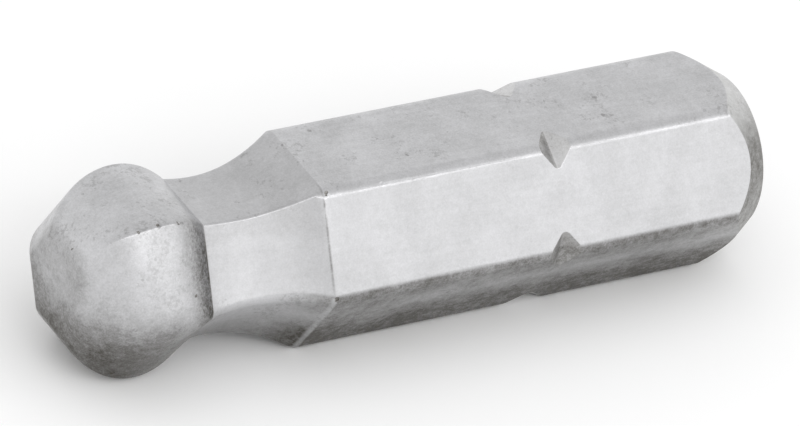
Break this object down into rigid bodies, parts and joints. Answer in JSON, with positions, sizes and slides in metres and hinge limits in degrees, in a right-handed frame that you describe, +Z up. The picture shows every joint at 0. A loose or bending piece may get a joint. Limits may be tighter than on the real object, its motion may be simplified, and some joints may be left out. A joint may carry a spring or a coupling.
{
  "type": "ball-end hex bit",
  "caption": "Short steel driver bit: hexagonal shank with detent notches, waisted neck, ball-end hex tip, chamfered shank end.",
  "frame": {"origin": "on the surface that the bit lies on, under the middle of its length and on its centre line", "axes": "+X along the bit's axis from the ball to the shank end, +Z up out of the shank flat that it lies on, +Y across"},
  "size_m": [0.0254, 0.0072, 0.0063],
  "materials": {
    "steel": "satin, tumbled tool steel with light handling wear"
  },
  "bodies": {
    "root": {"hex_bit": "steel"}
  },
  "joints": []
}
